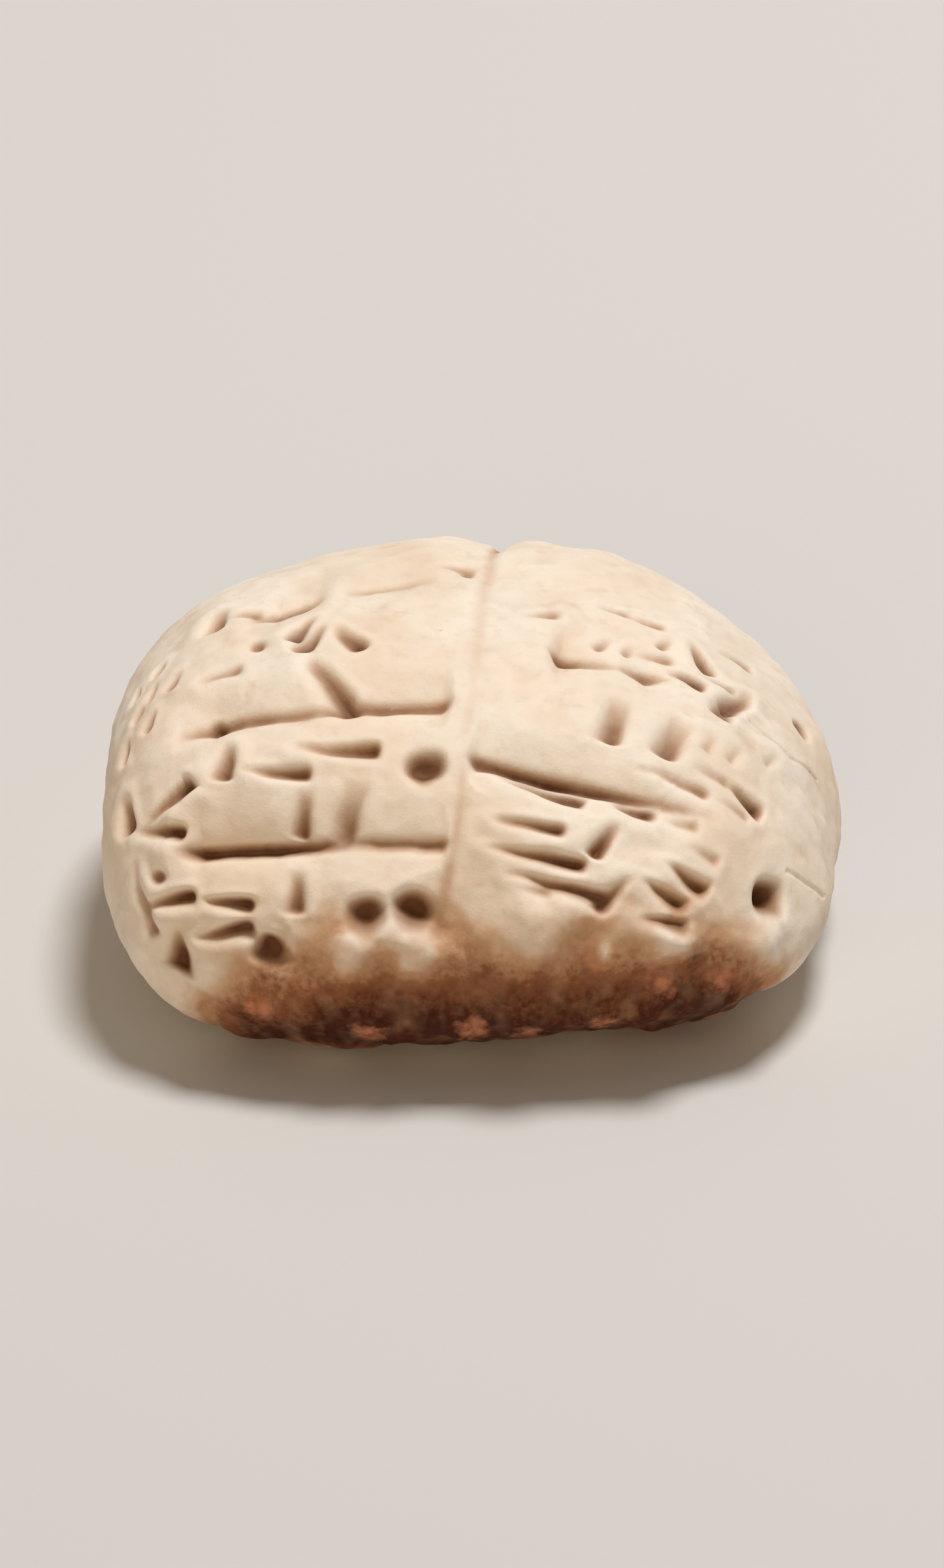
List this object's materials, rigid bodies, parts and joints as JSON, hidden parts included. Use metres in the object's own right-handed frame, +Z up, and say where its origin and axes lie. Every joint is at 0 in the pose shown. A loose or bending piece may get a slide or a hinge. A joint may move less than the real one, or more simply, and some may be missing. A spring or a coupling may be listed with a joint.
{
  "type": "cuneiform tablet",
  "caption": "Small cushion-shaped clay account tablet, its upper face ruled into cases in two columns and pressed with rows of wedge strokes and round holes.",
  "frame": {"origin": "middle of the outline, at the level of the surface that the tablet lies on", "axes": "+Z up out of the written face, +X along the rows of strokes, +Y along the columns, away from the worn front edge"},
  "size_m": [0.0514, 0.047, 0.0232],
  "materials": {
    "clay": "matt, smoothed by hand"
  },
  "bodies": {
    "root": {"tablet": "clay"}
  },
  "joints": []
}
